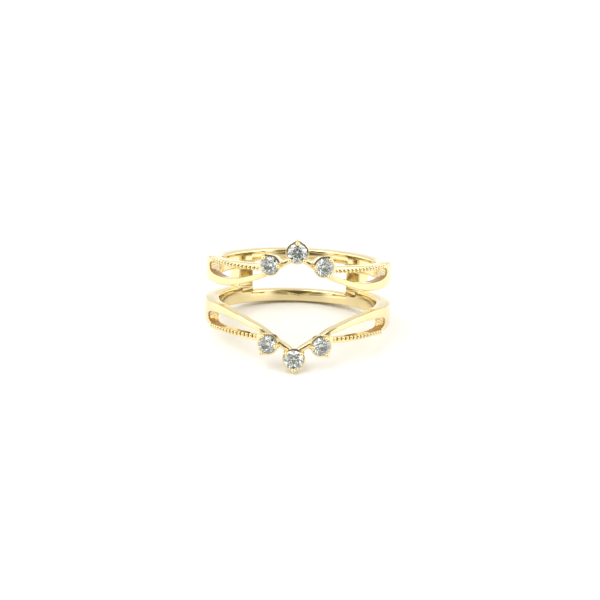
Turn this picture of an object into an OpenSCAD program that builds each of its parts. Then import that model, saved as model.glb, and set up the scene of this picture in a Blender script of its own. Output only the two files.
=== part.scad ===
// Ring guard enhancer: two slim gold bands joined by two bars at the back, each
// opening at the front into a pierced shoulder on either side and a chevron of
// three round brilliants. A solitaire ring is worn in the space between them.
//
// The ring is drawn upright about the finger's axis, Z, with the chevrons on the
// -Y side, and is then tipped to the way it lies on a table: on the point of the
// lower chevron and on the back edge of the lower band.

/* [Finger] */
// Inside diameter of the finger hole
finger_d = 17.3; // [15:0.1:20]
// Radial thickness of the metal
metal_t = 1.6; // [1.4:0.05:2]
// How far the pierced front and the bars stand off the finger
relief = 0.05; // [0.03:0.01:0.1]
// How far the outer face is set back at the front, where the metal is thinnest
front_thin = 0.65; // [0.4:0.05:0.8]

/* [Bands] */
// Space between the two bands at the back, where the solitaire's shank sits
back_gap = 3.3; // [2.6:0.1:4.5]
// Width of each band at the back
band_w = 1.4; // [1.1:0.05:2]
// Rounding of the back bands' edges
edge_r = 0.25; // [0.1:0.05:0.4]

/* [Bridges] */
// Width of each bar that joins the two bands
bridge_w = 2.1; // [1.5:0.1:3]
// Place of each bar, in degrees from the front
bridge_angle = 136; // [130:1:150]
// Radius of a bar's joints with the bands on its back side
bridge_fillet = 0.3; // [0.2:0.1:1.2]
// Radius of a bar's joints with the bands on its front side
slot_fillet = 0.15; // [0.1:0.05:0.4]

/* [Shoulders] */
// Angle from the front at which a band opens into two arms
split_angle = 74; // [70:1:76]
// Angle from the front at which the shoulder has narrowed to the back's width
taper_angle = 114; // [105:1:120]
// Height of the shoulders' gap edge above the middle of the gap
side_gap_edge = 1.05; // [0.8:0.05:1.3]
// Height of the shoulders' outer edge above the middle of the gap
side_outer_edge = 3.72; // [3.5:0.02:4]
// Height of the milgrain arm's outer edge at the side stone
arm_outer_edge = 4.1; // [3.9:0.02:4.3]
// Width of the plain arm
plain_arm_w = 0.9; // [0.7:0.05:1]
// Width of the milgrain arm
milgrain_arm_w = 0.65; // [0.5:0.05:0.8]

/* [Chevron] */
// Height of the chevron's inner corner above the middle of the gap
apex_edge = 4.85; // [4.7:0.05:5]
// Width of the bars between the stones
bar_w = 0.62; // [0.5:0.02:0.8]

/* [Stones] */
// Diameter of the two centre stones
centre_stone_d = 2.05; // [1.8:0.05:2.2]
// Diameter of the four side stones
side_stone_d = 1.95; // [1.7:0.05:2]
// Height of the centre stones above the middle of the gap
centre_stone_rise = 5.68; // [5.5:0.02:6]
// Height of the side stones above the middle of the gap
side_stone_rise = 4.22; // [4.1:0.02:4.4]
// Angle of the side stones from the front
side_stone_angle = 16; // [15:0.5:17]
// How far the stones' girdles stand outside the metal's face
girdle_rise = 0.15; // [0.05:0.05:0.3]
// Space between a stone and its seat and claws
stone_gap = 0.1; // [0.05:0.01:0.15]
// Width of the rim round a stone's seat
rim_w = 0.1; // [0.08:0.01:0.14]

/* [Claws] */
// Diameter of a claw's wire
claw_d = 0.36; // [0.3:0.02:0.44]
// Diameter of the bead that a claw ends in
claw_tip_d = 0.46; // [0.4:0.02:0.54]
// Distance of the chevron's point from the centre stone's axis
centre_point_reach = 1.35; // [1.3:0.05:1.7]
// Distance of a side stone's outer point from its axis
side_point_reach = 1.32; // [1.2:0.02:1.45]
// Radius of a point's rounded end
point_r = 0.15; // [0.1:0.01:0.2]

/* [Milgrain] */
// Diameter of a milgrain bead
bead_d = 0.42; // [0.36:0.01:0.44]
// Distance from bead to bead
bead_pitch = 0.47; // [0.46:0.01:0.6]

/* [Hidden] */
$fn = 72;
BELOW = -1;
ABOVE = 1;
LEFT = -1;
RIGHT = 1;

finger_r = finger_d / 2;
front_r = finger_r + relief;
outer_r = finger_r + metal_t;
girdle_r = outer_r + girdle_rise;
band_top = back_gap / 2 + band_w;
// How far a cutter runs past the metal, and where a blank starts inside it
overrun = 1;
blank_start = 0.75 * finger_r;

// Cut of the brilliants, as shares of a stone's radius
TABLE_SHARE = 0.57;
STAR_SHARE = 0.8;
CROWN_SHARE = 0.32;
GIRDLE_SHARE = 0.06;
PAVILION_SHARE = 0.86;
LOWER_HALF_SHARE = 0.24;
CUT_SIDES = 8;

// Shoulders in steps of SECTION_STEP degrees from the front. The lengths are shares:
// of the rise from the side to the chevron's corner, of the plain arm's width,
// of the milgrain arm's width, and of the outer edge's rise towards the side stone.
// Columns: angle, gap edge, plain arm, milgrain arm, outer edge
SECTION_STEP = 8.5;
SECTIONS = [
    [14.5, 0.60, 0.67, 1.00, 1.00],
    [23.0, 0.40, 0.67, 1.00, 1.00],
    [31.5, 0.27, 0.70, 1.00, 0.95],
    [40.0, 0.15, 0.72, 0.92, 0.80],
    [48.5, 0.06, 0.86, 0.80, 0.60],
    [57.0, 0.01, 1.04, 0.60, 0.28],
    [65.5, 0.00, 1.15, 0.45, 0.08],
    [74.0, 0.00, 1.20, 0.40, 0.00],
];
GAP_EDGE = 1;
PLAIN_ARM = 2;
MILGRAIN_ARM = 3;
OUTER_EDGE = 4;
// Angle at which the shoulders are drawn flat and cut straight through
CUT_ANGLE = 20;
// Where the opening comes to a point, and where its round end begins
LEAF_POINT = 24;
LEAF_ROUND = 58;
LEAF_STEPS = 14;
// How blunt the round end is, where 1 is an ellipse and 0 is square
LEAF_BLUNT = 0.8;
// How far the round end turns each way, a little short of the arms' edges
LEAF_TURN = 75;
// Bays of the blank along the chevron's bar, the arms, the side and the back
CHEVRON_STEPS = 4;
ARM_STEPS = 18;
SIDE_STEPS = 10;
BACK_STEPS = 4;
// How far round a cut ends past one of the blank's columns, so that the two never coincide
OFF_COLUMN = 2;
// How far from a bar's middle the gap's edge leaves one width and reaches the next, inside the bar
BAR_STEP = 3;
// The fillets' share of the half gap beside them, at most
FILLET_SHARE = 0.95;
// Angle at which a rounded edge meets the two faces beside it, and so how far in its middle is
EDGE_MEET = 10;
edge_inset = edge_r * cos(EDGE_MEET);

// The claws' directions round a stone, from the tangent towards the outer side
CENTRE_CLAWS = [90, 223, 317];
SIDE_CLAWS = [57, 177, 297];
// A claw's root and knee, as shares of a stone's radius: out from its axis, below its girdle
CLAW_ROOT = [0.75, 0.85];
KNEE_DROP_SHARE = 0.06;
// Wires and beads against the claw wire's radius: the root, and the bead in the knee
ROOT_SHARE = 1.25;
KNEE_SHARE = 1.06;
// How far the tip's middle stands outside the girdle
TIP_OUT = 0.04;
// A point's root against its stone's diameter, the radius there, and its end's drop
POINT_ROOT = [0.3, 0.45];
POINT_ROOT_R = 0.3;
POINT_DROP = 0.1;
// The crest runs from inside the cup's rim to inside the point's round end: its radius at
// the cup against the rim's, and its radius and half its height at the end against the end's
CREST_ROOT_SHARE = 0.85;
CREST_END_SHARE = 0.55;
CREST_HALF_SHARE = 0.6;
// Radii of a cup's foot and of the hole in it, as shares of the stone's diameter
CUP_FOOT_SHARE = 0.46;
CUP_HOLE_SHARE = 0.2;
// Where the milgrain starts and ends, and how much of a bead is inside the arm's edge
MILGRAIN_START = 26;
MILGRAIN_END = 67;
BEAD_INSET_SHARE = 0.45;
// Place of the bead on the chevron's bar: share of the way to the side stone, and its height
BAR_BEAD_SHARE = 0.45;
BAR_BEAD_DROP = 0.4;

// A point and a curved value between two table rows
function row_before(angle) =
    min(len(SECTIONS) - 2, max(0, floor((angle - SECTIONS[0][0]) / SECTION_STEP)));
function share(row, column) = SECTIONS[min(len(SECTIONS) - 1, max(0, row))][column];
function curve(t, a, b, c, d) =
    b + t / 2 * (c - a + t * (2 * a - 5 * b + 4 * c - d + t * (3 * (b - c) + d - a)));
function section(angle, column) =
    let (i = row_before(angle), t = (angle - SECTIONS[i][0]) / SECTION_STEP)
    curve(t, share(i - 1, column), share(i, column), share(i + 1, column), share(i + 2, column));

// Heights of the shoulder's four edges at an angle from the front
function gap_edge(angle) =
    side_gap_edge + section(angle, GAP_EDGE) * (apex_edge - side_gap_edge);
function outer_edge(angle) =
    side_outer_edge + section(angle, OUTER_EDGE) * (arm_outer_edge - side_outer_edge);
function leaf_low(angle) = gap_edge(angle) + section(angle, PLAIN_ARM) * plain_arm_w;
function leaf_high(angle) = outer_edge(angle) - section(angle, MILGRAIN_ARM) * milgrain_arm_w;

// Radius of the outer face, which is part of a circle set back from the finger's axis
function face_r(angle) =
    min(outer_r, sqrt(outer_r ^ 2 - (front_thin * sin(angle)) ^ 2) - front_thin * cos(angle));

// Distance along a flat drawing made square to the cut's direction
function flat(angle) = face_r(angle) * sin(angle - CUT_ANGLE);
function steps(from, to, count) = [for (i = [0:count]) from + (to - from) * i / count];
function ease(t) = t * t * (3 - 2 * t);
function after_first(list) = [for (i = [1:len(list) - 1]) list[i]];

// Turns a drawing so that Z points out of the ring at an angle from the front
module outward(angle, rise = 0) {
    translate([0, 0, rise]) rotate([90, 0, angle]) children();
}

// The same thing on both bands, and on both sides of the ring
module both_levels() {
    children();
    mirror([0, 0, 1]) children();
}

module both_sides() {
    children();
    mirror([1, 0, 0]) children();
}

// A flat drawing as a straight bar through one side of the ring
module through(angle) {
    outward(angle) translate([0, 0, blank_start])
        linear_extrude(height = outer_r + overrun - blank_start) children();
}

// One guard's blank all the way round, cut towards the finger's axis, before the openings.
// Each column holds an angle from the front, a low edge and a high edge.
module guard_blank() {
    foot = side_stone_angle;
    slope = (apex_edge - gap_edge(foot)) / sin(foot);
    depth = bar_w / cos(atan(slope / outer_r));
    function narrowed(angle) =
        ease((angle - split_angle) / (taper_angle - split_angle));
    chevron = [for (a = steps(0, foot, CHEVRON_STEPS))
        let (low = apex_edge - slope * sin(a)) [a, low, low + depth]];
    arms = [for (a = steps(foot, split_angle, ARM_STEPS)) [a, gap_edge(a), outer_edge(a)]];
    side = [for (a = steps(split_angle, taper_angle, SIDE_STEPS))
        [a, side_gap_edge, side_outer_edge + narrowed(a) * (band_top - side_outer_edge)]];
    slot_end = [bridge_angle - BAR_STEP, side_gap_edge, band_top];
    back = [for (a = steps(bridge_angle + BAR_STEP, 180, BACK_STEPS)) [a, back_gap / 2, band_top]];
    half = concat(chevron, after_first(arms), after_first(side), [slot_end], back);
    last = len(half) - 1;
    columns = concat(half, [for (i = [last - 1:-1:1]) [-half[i][0], half[i][1], half[i][2]]]);
    outer = outer_r + overrun;
    function corners(c) = [
        [blank_start * sin(c[0]), -blank_start * cos(c[0]), c[1]],
        [outer * sin(c[0]), -outer * cos(c[0]), c[1]],
        [outer * sin(c[0]), -outer * cos(c[0]), c[2]],
        [blank_start * sin(c[0]), -blank_start * cos(c[0]), c[2]],
    ];
    function bay(i, j) = [
        [i, i + 1, j + 1], [i, j + 1, j],
        [i + 1, i + 2, j + 2, j + 1],
        [i + 2, i + 3, j + 3], [i + 2, j + 3, j + 2],
        [i + 3, i, j, j + 3],
    ];
    count = len(columns);
    polyhedron(
        [for (c = columns) each corners(c)],
        [for (i = [0:count - 1]) each bay(4 * i, 4 * ((i + 1) % count))]
    );
}

// The leaf-shaped opening between the arms, cut straight through
module leaf() {
    angles = steps(LEAF_POINT, LEAF_ROUND, LEAF_STEPS);
    start = flat(LEAF_ROUND);
    length = flat(split_angle) - start;
    middle = (leaf_low(LEAF_ROUND) + leaf_high(LEAF_ROUND)) / 2;
    half_height = (leaf_high(LEAF_ROUND) - leaf_low(LEAF_ROUND)) / 2;
    outward(CUT_ANGLE)
        linear_extrude(height = outer_r + overrun)
            polygon(concat(
                [for (a = angles) [flat(a), leaf_low(a)]],
                [for (t = steps(-LEAF_TURN, LEAF_TURN, 10)) [
                    start + length * cos(t) ^ LEAF_BLUNT,
                    middle + half_height * sign(t) * abs(sin(t)) ^ LEAF_BLUNT
                ]],
                [for (i = [LEAF_STEPS:-1:1]) [flat(angles[i]), leaf_high(angles[i])]]
            ));
}

// One bar between the bands, with a fillet in each corner. The gap is narrower on the side
// towards the front, where the two fillets make a round end for it.
module bridge() {
    half = bridge_w / 2;
    back_top = back_gap / 2;
    back_fillet = min(bridge_fillet, FILLET_SHARE * back_top);
    slot_r = min(slot_fillet, FILLET_SHARE * side_gap_edge);
    back_end = half + back_fillet;
    slot_end = -half - slot_r;
    function corner(x, y, r, from, to) =
        [for (t = steps(from, to, 6)) [x + r * cos(t), y + r * sin(t)]];
    through(bridge_angle)
        polygon(concat(
            [[back_end, -back_top - edge_r]],
            corner(back_end, back_fillet - back_top, back_fillet, 270, 180),
            corner(back_end, back_top - back_fillet, back_fillet, 180, 90),
            [[back_end, back_top + edge_r], [slot_end, back_top + edge_r]],
            corner(slot_end, side_gap_edge - slot_r, slot_r, 90, 0),
            corner(slot_end, slot_r - side_gap_edge, slot_r, 0, -90),
            [[slot_end, -back_top - edge_r]]
        ));
}

// Everything outside the rounded outer edge of a band's plain back
module edge_cut() {
    start = taper_angle + OFF_COLUMN;
    rotate([0, 0, start - 90])
        rotate_extrude(angle = 360 - 2 * start)
            translate([outer_r - edge_inset, band_top - edge_inset])
                difference() {
                    square(2 * edge_r);
                    circle(r = edge_r);
                }
}

// The metal of both guards as one pierced tube, before stones and claws
module pierced_tube() {
    intersection() {
        difference() {
            cylinder(r = outer_r, h = 2 * centre_stone_rise, center = true);
            cylinder(r = finger_r, h = 2 * centre_stone_rise + overrun, center = true);
        }
        translate([0, front_thin, 0])
            cylinder(r = outer_r, h = 2 * centre_stone_rise + overrun, center = true);
        union() {
            both_levels() guard_blank();
            both_sides() bridge();
        }
    }
}

// The tapered cup under a stone, with a crest that draws its rim out to the outer point
module cup(stone_d, direction, reach) {
    rim_r = stone_d / 2 + stone_gap + rim_w;
    translate([0, 0, finger_r - relief])
        cylinder(h = girdle_r - finger_r, r1 = CUP_FOOT_SHARE * stone_d, r2 = rim_r);
    root_r = CREST_ROOT_SHARE * rim_r;
    end_r = CREST_END_SHARE * point_r;
    half = CREST_HALF_SHARE * point_r;
    turn = acos((root_r - end_r) / reach);
    rotate([0, 0, direction])
        translate([0, 0, girdle_r - POINT_DROP - half])
            linear_extrude(height = 2 * half)
                polygon([
                    [root_r * cos(turn), root_r * sin(turn)],
                    [reach + end_r * cos(turn), end_r * sin(turn)],
                    [reach + end_r * cos(turn), -end_r * sin(turn)],
                    [root_r * cos(turn), -root_r * sin(turn)]
                ]);
}

// The room that a stone and its gap take out of the metal, and the hole behind it
module seat(stone_d) {
    depth = PAVILION_SHARE * stone_d / 2;
    slope = 1 / PAVILION_SHARE;
    drop = stone_gap / sin(atan(slope));
    height = depth + drop + overrun;
    translate([0, 0, girdle_r - depth - drop])
        cylinder(h = height, r1 = 0, r2 = height * slope);
    translate([0, 0, finger_r - overrun])
        cylinder(h = metal_t + overrun - depth / 2, r = CUP_HOLE_SHARE * stone_d);
}

// A round wire between two points of the plane that holds a stone's axis
module wire(from, to, r_from, r_to) {
    span = to - from;
    translate([from.x, 0, from.y])
        rotate([0, atan2(span.x, span.y), 0])
            cylinder(h = norm(span), r1 = r_from, r2 = r_to);
}

module ball(at, r) {
    translate([at.x, 0, at.y]) sphere(r = r);
}

// A claw from its root under the stone, round the girdle to a bead on the crown
module claw(stone_d) {
    r = stone_d / 2;
    wire_r = claw_d / 2;
    tip_r = claw_tip_d / 2;
    root = [CLAW_ROOT.x * r, girdle_r - CLAW_ROOT.y * r];
    knee = [r + stone_gap + wire_r, girdle_r - KNEE_DROP_SHARE * r];
    tip = [r + TIP_OUT, girdle_r + GIRDLE_SHARE * r / 2 + stone_gap + tip_r];
    wire(root, knee, wire_r * ROOT_SHARE, wire_r);
    ball(knee, wire_r * KNEE_SHARE);
    wire(knee, tip, wire_r, wire_r);
    ball(tip, tip_r);
}

// The pointed foot of an outer claw
module point(stone_d, reach) {
    root = [POINT_ROOT.x * stone_d, girdle_r - POINT_ROOT.y * stone_d];
    end = [reach, girdle_r - POINT_DROP];
    wire(root, end, POINT_ROOT_R, point_r);
    ball(end, point_r);
}

// Claws and point of one stone
module claws(stone_d, directions, reach) {
    for (direction = directions)
        rotate([0, 0, direction]) claw(stone_d);
    rotate([0, 0, directions[0]]) point(stone_d, reach);
}

// Milgrain along the inner edge of the outer arm, and one bead on the chevron's bar
module milgrain() {
    pitch_angle = 2 * asin(bead_pitch / 2 / face_r(MILGRAIN_START));
    for (a = [MILGRAIN_START:pitch_angle:MILGRAIN_END])
        outward(a, leaf_high(a) + BEAD_INSET_SHARE * bead_d)
            translate([0, 0, face_r(a)]) sphere(r = bead_d / 2);
}

module bar_bead() {
    angle = side_stone_angle * BAR_BEAD_SHARE;
    outward(angle, (centre_stone_rise + side_stone_rise) / 2 - BAR_BEAD_DROP)
        translate([0, 0, face_r(angle)]) sphere(r = bead_d / 2);
}

// What takes the metal off the finger in front and at the bars
module relief_cut() {
    end = split_angle + OFF_COLUMN;
    linear_extrude(height = 2 * (centre_stone_rise + centre_stone_d), center = true)
        intersection() {
            circle(r = front_r);
            polygon([[0, 0], for (a = steps(-end, end, 4)) 2 * outer_r * [sin(a), -cos(a)]]);
        }
    cylinder(r = front_r, h = 2 * (side_gap_edge - relief), center = true);
}

// The places of the three stones of one guard
module at_centre() {
    outward(0, centre_stone_rise) children();
}

module at_side() {
    outward(side_stone_angle, side_stone_rise) children();
}

// All the gold in the ring's own frame
module gold() {
    difference() {
        union() {
            pierced_tube();
            both_levels() {
                at_centre() cup(centre_stone_d, CENTRE_CLAWS[0], centre_point_reach);
                both_sides() at_side() cup(side_stone_d, SIDE_CLAWS[0], side_point_reach);
            }
        }
        relief_cut();
        both_levels() at_centre() seat(centre_stone_d);
        both_levels() both_sides() at_side() seat(side_stone_d);
        both_levels() both_sides() leaf();
        both_levels() edge_cut();
    }
    both_levels() at_centre() claws(centre_stone_d, CENTRE_CLAWS, centre_point_reach);
    both_levels() both_sides() {
        at_side() claws(side_stone_d, SIDE_CLAWS, side_point_reach);
        milgrain();
        bar_bead();
    }
}

// A round brilliant with its table outwards, its girdle at the height of the seats
module brilliant(stone_d) {
    r = stone_d / 2;
    half_girdle = GIRDLE_SHARE * r / 2;
    crown = CROWN_SHARE * r;
    depth = PAVILION_SHARE * r;
    step = 360 / CUT_SIDES;
    n = CUT_SIDES;
    function ring(radius, height, turn, count) = [for (i = [0:count - 1])
        let (a = i * 360 / count + turn) [radius * cos(a), radius * sin(a), height]];
    // A kite is flat, so its side corners lie on the line from its head to its foot
    function kite_height(radius, head_r, head_z, foot_z) =
        head_z + (radius * cos(step / 2) - head_r) / (r - head_r) * (foot_z - head_z);
    star_z = kite_height(STAR_SHARE * r, TABLE_SHARE * r, crown, half_girdle);
    lower_z = kite_height(LOWER_HALF_SHARE * r, 0, -depth, -half_girdle);
    points = concat(
        ring(TABLE_SHARE * r, crown, 0, n),
        ring(STAR_SHARE * r, star_z, step / 2, n),
        ring(r, half_girdle, 0, 2 * n),
        ring(r, -half_girdle, 0, 2 * n),
        ring(LOWER_HALF_SHARE * r, lower_z, step / 2, n),
        [[0, 0, -depth]]
    );
    function table(i) = i % n;
    function star(i) = n + (i + n) % n;
    function upper(i) = 2 * n + i % (2 * n);
    function lower(i) = 4 * n + i % (2 * n);
    function keel(i) = 6 * n + (i + n) % n;
    culet = 7 * n;
    translate([0, 0, girdle_r])
        polyhedron(points, concat(
            [[for (i = [n - 1:-1:0]) table(i)]],
            [for (i = [0:n - 1]) [table(i), table(i + 1), star(i)]],
            [for (i = [0:n - 1]) [table(i), star(i), upper(2 * i), star(i - 1)]],
            [for (i = [0:n - 1]) [star(i), upper(2 * i + 1), upper(2 * i)]],
            [for (i = [0:n - 1]) [star(i), upper(2 * i + 2), upper(2 * i + 1)]],
            [for (i = [0:2 * n - 1]) [upper(i), upper(i + 1), lower(i + 1), lower(i)]],
            [for (i = [0:n - 1]) [keel(i), lower(2 * i), lower(2 * i + 1)]],
            [for (i = [0:n - 1]) [keel(i), lower(2 * i + 1), lower(2 * i + 2)]],
            [for (i = [0:n - 1]) [culet, keel(i - 1), lower(2 * i), keel(i)]]
        ));
}

// How the ring lies: the tip and the back edge touch the table together
tip_at = [girdle_r - POINT_DROP, centre_stone_rise + centre_point_reach];
back_at = [outer_r - edge_inset, band_top - edge_inset];
reach = [tip_at.x + back_at.x, tip_at.y - back_at.y];
lie_angle = atan2(reach.y, reach.x) + asin((point_r - edge_r) / norm(reach));
lift = tip_at.y * cos(lie_angle) - tip_at.x * sin(lie_angle) + point_r;
// The middle of the lying ring's length, from its lowest claw to its back edge
front_end = (girdle_r + claw_tip_d) * cos(lie_angle) + centre_stone_rise * sin(lie_angle);
back_end = back_at.x * cos(lie_angle) + back_at.y * sin(lie_angle) + edge_r;

module lying() {
    translate([0, (front_end - back_end) / 2, lift]) rotate([-lie_angle, 0, 0]) children();
}

module guard_frame() {
    color("goldenrod") lying() gold();
}

module centre_stone(level) {
    color("lightcyan") lying()
        mirror([0, 0, level == BELOW ? 1 : 0])
            outward(0, centre_stone_rise) brilliant(centre_stone_d);
}

module side_stone(level, side) {
    color("lightcyan") lying()
        mirror([0, 0, level == BELOW ? 1 : 0])
            outward(side * side_stone_angle, side_stone_rise) brilliant(side_stone_d);
}

guard_frame();
centre_stone(ABOVE);  // upper_centre_stone
side_stone(ABOVE, LEFT);  // upper_left_stone
side_stone(ABOVE, RIGHT);  // upper_right_stone
centre_stone(BELOW);  // lower_centre_stone
side_stone(BELOW, LEFT);  // lower_left_stone
side_stone(BELOW, RIGHT);  // lower_right_stone
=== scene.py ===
"""Ring guard enhancer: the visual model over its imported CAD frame.

The ring is worked out upright, in millimetres, with the finger's axis along Z and the
chevrons on the -Y side, and is then turned to where it lies on the table, in metres.
"""

import logging
import math
from dataclasses import dataclass, field
from enum import Enum
from typing import Iterable, Sequence

import bmesh
import bpy
from mathutils import Matrix, Vector


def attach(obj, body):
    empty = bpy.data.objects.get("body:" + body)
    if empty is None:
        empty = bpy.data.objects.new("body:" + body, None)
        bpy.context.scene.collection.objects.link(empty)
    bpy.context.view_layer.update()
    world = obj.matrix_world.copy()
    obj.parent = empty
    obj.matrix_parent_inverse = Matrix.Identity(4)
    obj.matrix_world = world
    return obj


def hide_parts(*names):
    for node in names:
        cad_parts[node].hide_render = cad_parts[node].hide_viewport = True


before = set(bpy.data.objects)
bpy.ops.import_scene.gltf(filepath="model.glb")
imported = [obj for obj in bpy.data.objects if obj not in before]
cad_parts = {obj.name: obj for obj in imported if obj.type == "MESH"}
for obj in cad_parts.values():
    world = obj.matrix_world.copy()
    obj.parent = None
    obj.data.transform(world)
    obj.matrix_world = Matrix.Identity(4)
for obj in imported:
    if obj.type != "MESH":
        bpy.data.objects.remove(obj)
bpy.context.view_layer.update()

LOG = logging.getLogger("ring_guard")
MM = 0.001


def sin(angle: float) -> float:
    """Return the sine of an angle in degrees."""
    return math.sin(math.radians(angle))


def cos(angle: float) -> float:
    """Return the cosine of an angle in degrees."""
    return math.cos(math.radians(angle))


def spread(start: float, end: float, count: int) -> list[float]:
    """Return count + 1 even values from start to end."""
    return [start + (end - start) * i / count for i in range(count + 1)]


def ramp(value: float, start: float, full: float) -> float:
    """Return a smooth step from 0 at start to 1 at full."""
    t = min(1.0, max(0.0, (value - start) / (full - start)))
    return t * t * (3 - 2 * t)


@dataclass(frozen=True)
class RingSizes:
    """The real sizes of the ring, in millimetres and degrees, as in the CAD source."""

    finger_r: float = 8.65
    metal_t: float = 1.6
    relief: float = 0.05
    front_thin: float = 0.65
    back_gap: float = 3.3
    band_w: float = 1.4
    bridge_w: float = 2.1
    bridge_angle: float = 136.0
    bridge_fillet: float = 0.3
    slot_fillet: float = 0.15
    split_angle: float = 74.0
    taper_angle: float = 114.0
    side_gap_edge: float = 1.05
    side_outer_edge: float = 3.72
    arm_outer_edge: float = 4.1
    plain_arm_w: float = 0.9
    milgrain_arm_w: float = 0.65
    apex_edge: float = 4.85
    bar_w: float = 0.62
    centre_stone_d: float = 2.05
    side_stone_d: float = 1.95
    centre_stone_rise: float = 5.68
    side_stone_rise: float = 4.22
    side_stone_angle: float = 16.0
    girdle_rise: float = 0.15
    stone_gap: float = 0.1
    rim_w: float = 0.1
    claw_d: float = 0.36
    claw_tip_d: float = 0.46
    centre_point_reach: float = 1.35
    side_point_reach: float = 1.32
    point_r: float = 0.15
    point_drop: float = 0.1
    bead_d: float = 0.42
    bead_pitch: float = 0.47
    edge_r: float = 0.25

    @property
    def outer_r(self) -> float:
        """Radius of the metal's outer face."""
        return self.finger_r + self.metal_t

    @property
    def front_r(self) -> float:
        """Inner radius of the pierced front and of the bars."""
        return self.finger_r + self.relief

    @property
    def girdle_r(self) -> float:
        """Distance of the stones' girdles from the finger's axis."""
        return self.outer_r + self.girdle_rise

    @property
    def band_top(self) -> float:
        """Height of a back band's outer edge above the middle of the gap."""
        return self.back_gap / 2 + self.band_w

    def face_r(self, angle: float) -> float:
        """Return the outer face's radius, part of a circle set back from the finger's axis.

        Args:
            angle: Degrees from the front.

        Returns:
            The radius, which is smaller at the front.
        """
        across = self.front_thin * sin(angle)
        back = self.front_thin * cos(angle)
        return min(self.outer_r, math.sqrt(self.outer_r ** 2 - across ** 2) - back)


RING = RingSizes()

# Shares of the shoulder's named sizes in steps of SECTION_STEP degrees, as in the CAD
# source. Columns: angle, gap edge, plain arm, milgrain arm, outer edge
SECTION_STEP = 8.5
SECTIONS = (
    (14.5, 0.60, 0.67, 1.00, 1.00),
    (23.0, 0.40, 0.67, 1.00, 1.00),
    (31.5, 0.27, 0.70, 1.00, 0.95),
    (40.0, 0.15, 0.72, 0.92, 0.80),
    (48.5, 0.06, 0.86, 0.80, 0.60),
    (57.0, 0.01, 1.04, 0.60, 0.28),
    (65.5, 0.00, 1.15, 0.45, 0.08),
    (74.0, 0.00, 1.20, 0.40, 0.00),
)
# Degrees from the front
CUT_ANGLE = 20.0
LEAF_POINT = 24.0
LEAF_ROUND = 58.0
MILGRAIN_START = 26.0
MILGRAIN_END = 67.0
# Half the run in which the bands step back behind a bar, in degrees
BAR_STEP = 3.0
# Where the table meets the back band's rounded edge, in degrees round it
EDGE_MEET = 10.0
# How blunt the opening's round end is: 1 is a half ellipse
LEAF_BLUNT = 0.8
# Directions of the claws round a stone, the outer one with its point first
CENTRE_CLAWS = (90.0, 223.0, 317.0)
SIDE_CLAWS = (57.0, 177.0, 297.0)
# Where a point starts under its stone, as shares of the stone's diameter
POINT_ROOT_REACH = 0.3
POINT_ROOT_DEPTH = 0.45


class Column(Enum):
    """The columns of the table of sections."""

    GAP_EDGE = 1
    PLAIN_ARM = 2
    MILGRAIN_ARM = 3
    OUTER_EDGE = 4


class Level(Enum):
    """The two guards: the sign of their height above the middle of the gap."""

    UPPER = 1
    LOWER = -1


class Hand(Enum):
    """The two halves of a guard: the sign of their place across the ring."""

    LEFT = -1
    RIGHT = 1


def section(angle: float, column: Column) -> float:
    """Return a curved value between two rows of the table.

    Args:
        angle: Degrees from the front.
        column: Which of the table's values.

    Returns:
        The share at that angle.
    """
    place = (angle - SECTIONS[0][0]) / SECTION_STEP
    row = min(len(SECTIONS) - 2, max(0, math.floor(place)))
    t = place - row
    a, b, c, d = (
        SECTIONS[min(len(SECTIONS) - 1, max(0, row + k))][column.value] for k in (-1, 0, 1, 2)
    )
    return b + t / 2 * (c - a + t * (2 * a - 5 * b + 4 * c - d + t * (3 * (b - c) + d - a)))


@dataclass(frozen=True)
class Outline:
    """The heights of one guard's edges at an angle from the front."""

    ring: RingSizes = RING

    def arm_gap_edge(self, angle: float) -> float:
        """Return the height of the plain arm's gap edge."""
        rise = self.ring.apex_edge - self.ring.side_gap_edge
        return self.ring.side_gap_edge + section(angle, Column.GAP_EDGE) * rise

    def arm_outer_edge(self, angle: float) -> float:
        """Return the height of the milgrain arm's outer edge."""
        rise = self.ring.arm_outer_edge - self.ring.side_outer_edge
        return self.ring.side_outer_edge + section(angle, Column.OUTER_EDGE) * rise

    def leaf_low(self, angle: float) -> float:
        """Return the opening's lower edge."""
        return self.arm_gap_edge(angle) + section(angle, Column.PLAIN_ARM) * self.ring.plain_arm_w

    def leaf_high(self, angle: float) -> float:
        """Return the opening's upper edge."""
        width = section(angle, Column.MILGRAIN_ARM) * self.ring.milgrain_arm_w
        return self.arm_outer_edge(angle) - width

    def bar_slope(self) -> float:
        """Return how steeply the chevron's bar falls from its apex to the side stone."""
        foot = self.ring.side_stone_angle
        return (self.ring.apex_edge - self.arm_gap_edge(foot)) / sin(foot)

    def low(self, angle: float) -> float:
        """Return the guard's gap edge: the chevron's bar, the arm or the band.

        Args:
            angle: Degrees from the front.

        Returns:
            The height above the middle of the gap.
        """
        ring = self.ring
        if angle <= ring.side_stone_angle:
            return ring.apex_edge - self.bar_slope() * sin(angle)
        if angle <= ring.split_angle:
            return self.arm_gap_edge(angle)
        behind = ramp(angle, ring.bridge_angle - BAR_STEP, ring.bridge_angle + BAR_STEP)
        return ring.side_gap_edge + behind * (ring.back_gap / 2 - ring.side_gap_edge)

    def high(self, angle: float) -> float:
        """Return the guard's outer edge: the chevron's bar, the arm or the band.

        Args:
            angle: Degrees from the front.

        Returns:
            The height above the middle of the gap.
        """
        ring = self.ring
        if angle <= ring.side_stone_angle:
            return self.low(angle) + ring.bar_w / math.cos(math.atan(self.bar_slope() / ring.outer_r))
        if angle <= ring.split_angle:
            return self.arm_outer_edge(angle)
        narrowed = ramp(angle, ring.split_angle, ring.taper_angle)
        return ring.side_outer_edge + narrowed * (ring.band_top - ring.side_outer_edge)


OUTLINE = Outline()


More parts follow.
